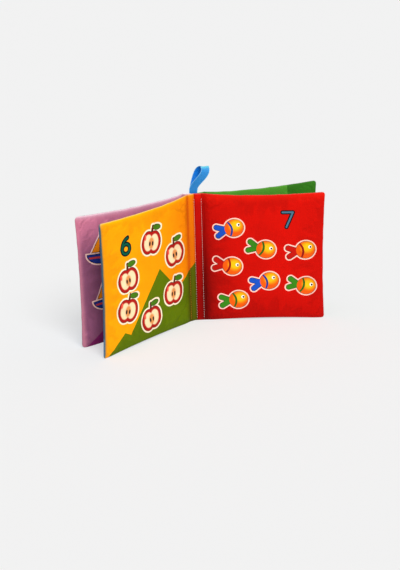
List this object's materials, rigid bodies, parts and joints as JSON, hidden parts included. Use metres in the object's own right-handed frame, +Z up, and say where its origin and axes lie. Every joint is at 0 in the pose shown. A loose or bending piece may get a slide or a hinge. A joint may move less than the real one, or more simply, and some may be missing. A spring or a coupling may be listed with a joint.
{
  "type": "crinkle cloth book",
  "caption": "Soft baby book of padded square cloth leaves sewn at a spine, each leaf turning on a flat gutter, with a ribbon loop for hanging.",
  "frame": {"origin": "on the floor, at the middle of the inner spread's fold, on the flat foot of the spine", "axes": "+X to the reader's right along the open book, +Y away from the reader, +Z up along the spine"},
  "size_m": [0.2924, 0.1703, 0.1936],
  "materials": {
    "sky_blue_cloth": "printed woven cloth, matt",
    "pink_cloth": "printed woven cloth, matt",
    "deep_blue_cloth": "printed woven cloth, matt",
    "yellow_cloth": "printed woven cloth, matt",
    "red_cloth": "printed woven cloth, matt",
    "teal_cloth": "printed woven cloth, matt",
    "leaf_green_cloth": "printed woven cloth, matt",
    "forest_green_cloth": "printed woven cloth, matt",
    "wadding": "soft polyester wadding",
    "crinkle_film": "thin glossy film",
    "thread": "polyester sewing thread",
    "ribbon": "grosgrain ribbon with a soft sheen"
  },
  "bodies": {
    "spine": {"inner_fold": "red_cloth", "cover_fold": "sky_blue_cloth", "inner_fold_thread": "thread", "cover_fold_thread": "thread", "spine_seam_thread": "thread", "loop_tail": "ribbon"},
    "ribbon_loop": {"hanging_loop": "ribbon"},
    "left_leaf": {"left_gutter": "yellow_cloth", "front_cover_gutter": "sky_blue_cloth", "yellow_page_cloth": "yellow_cloth", "blue_page_cloth": "deep_blue_cloth", "left_page_wadding": "wadding", "left_page_crinkle_film": "crinkle_film", "yellow_page_thread": "thread", "blue_page_thread": "thread", "pink_page_thread": "thread", "front_cover_thread": "thread"},
    "front_cover_leaf": {"pink_page_cloth": "pink_cloth", "front_cover_cloth": "sky_blue_cloth", "front_cover_wadding": "wadding", "front_cover_crinkle_film": "crinkle_film"},
    "right_leaf": {"right_gutter": "red_cloth", "back_cover_gutter": "forest_green_cloth", "red_page_cloth": "red_cloth", "teal_page_cloth": "teal_cloth", "right_page_wadding": "wadding", "right_page_crinkle_film": "crinkle_film", "red_page_thread": "thread", "teal_page_thread": "thread", "green_page_thread": "thread", "back_cover_thread": "thread"},
    "back_cover_leaf": {"green_page_cloth": "leaf_green_cloth", "back_cover_cloth": "forest_green_cloth", "back_cover_wadding": "wadding", "back_cover_crinkle_film": "crinkle_film"}
  },
  "joints": [
    {"name": "left_leaf_turn", "type": "hinge", "parent": "spine", "child": "left_leaf", "pos_m": [-0.002, 0, 0.08], "axis": [0, 0, 1], "range_deg": [-25, 41.5]},
    {"name": "front_cover_turn", "type": "hinge", "parent": "left_leaf", "child": "front_cover_leaf", "pos_m": [-0.01345, 0.00002, 0.08], "axis": [0, 0, 1], "range_deg": [-75, 14.5]},
    {"name": "right_leaf_turn", "type": "hinge", "parent": "spine", "child": "right_leaf", "pos_m": [0.002, 0, 0.08], "axis": [0, 0, 1], "range_deg": [-88.7, 20]},
    {"name": "back_cover_turn", "type": "hinge", "parent": "right_leaf", "child": "back_cover_leaf", "pos_m": [0.01243, 0.00728, 0.08], "axis": [0, 0, 1], "range_deg": [-19.8, 75]},
    {"name": "loop_flop", "type": "hinge", "parent": "spine", "child": "ribbon_loop", "pos_m": [-0.0007, 0.00165, 0.16095], "axis": [1, 0, 0], "range_deg": [-45, 45], "stiffness_Nm_per_rad": 0.001}
  ]
}
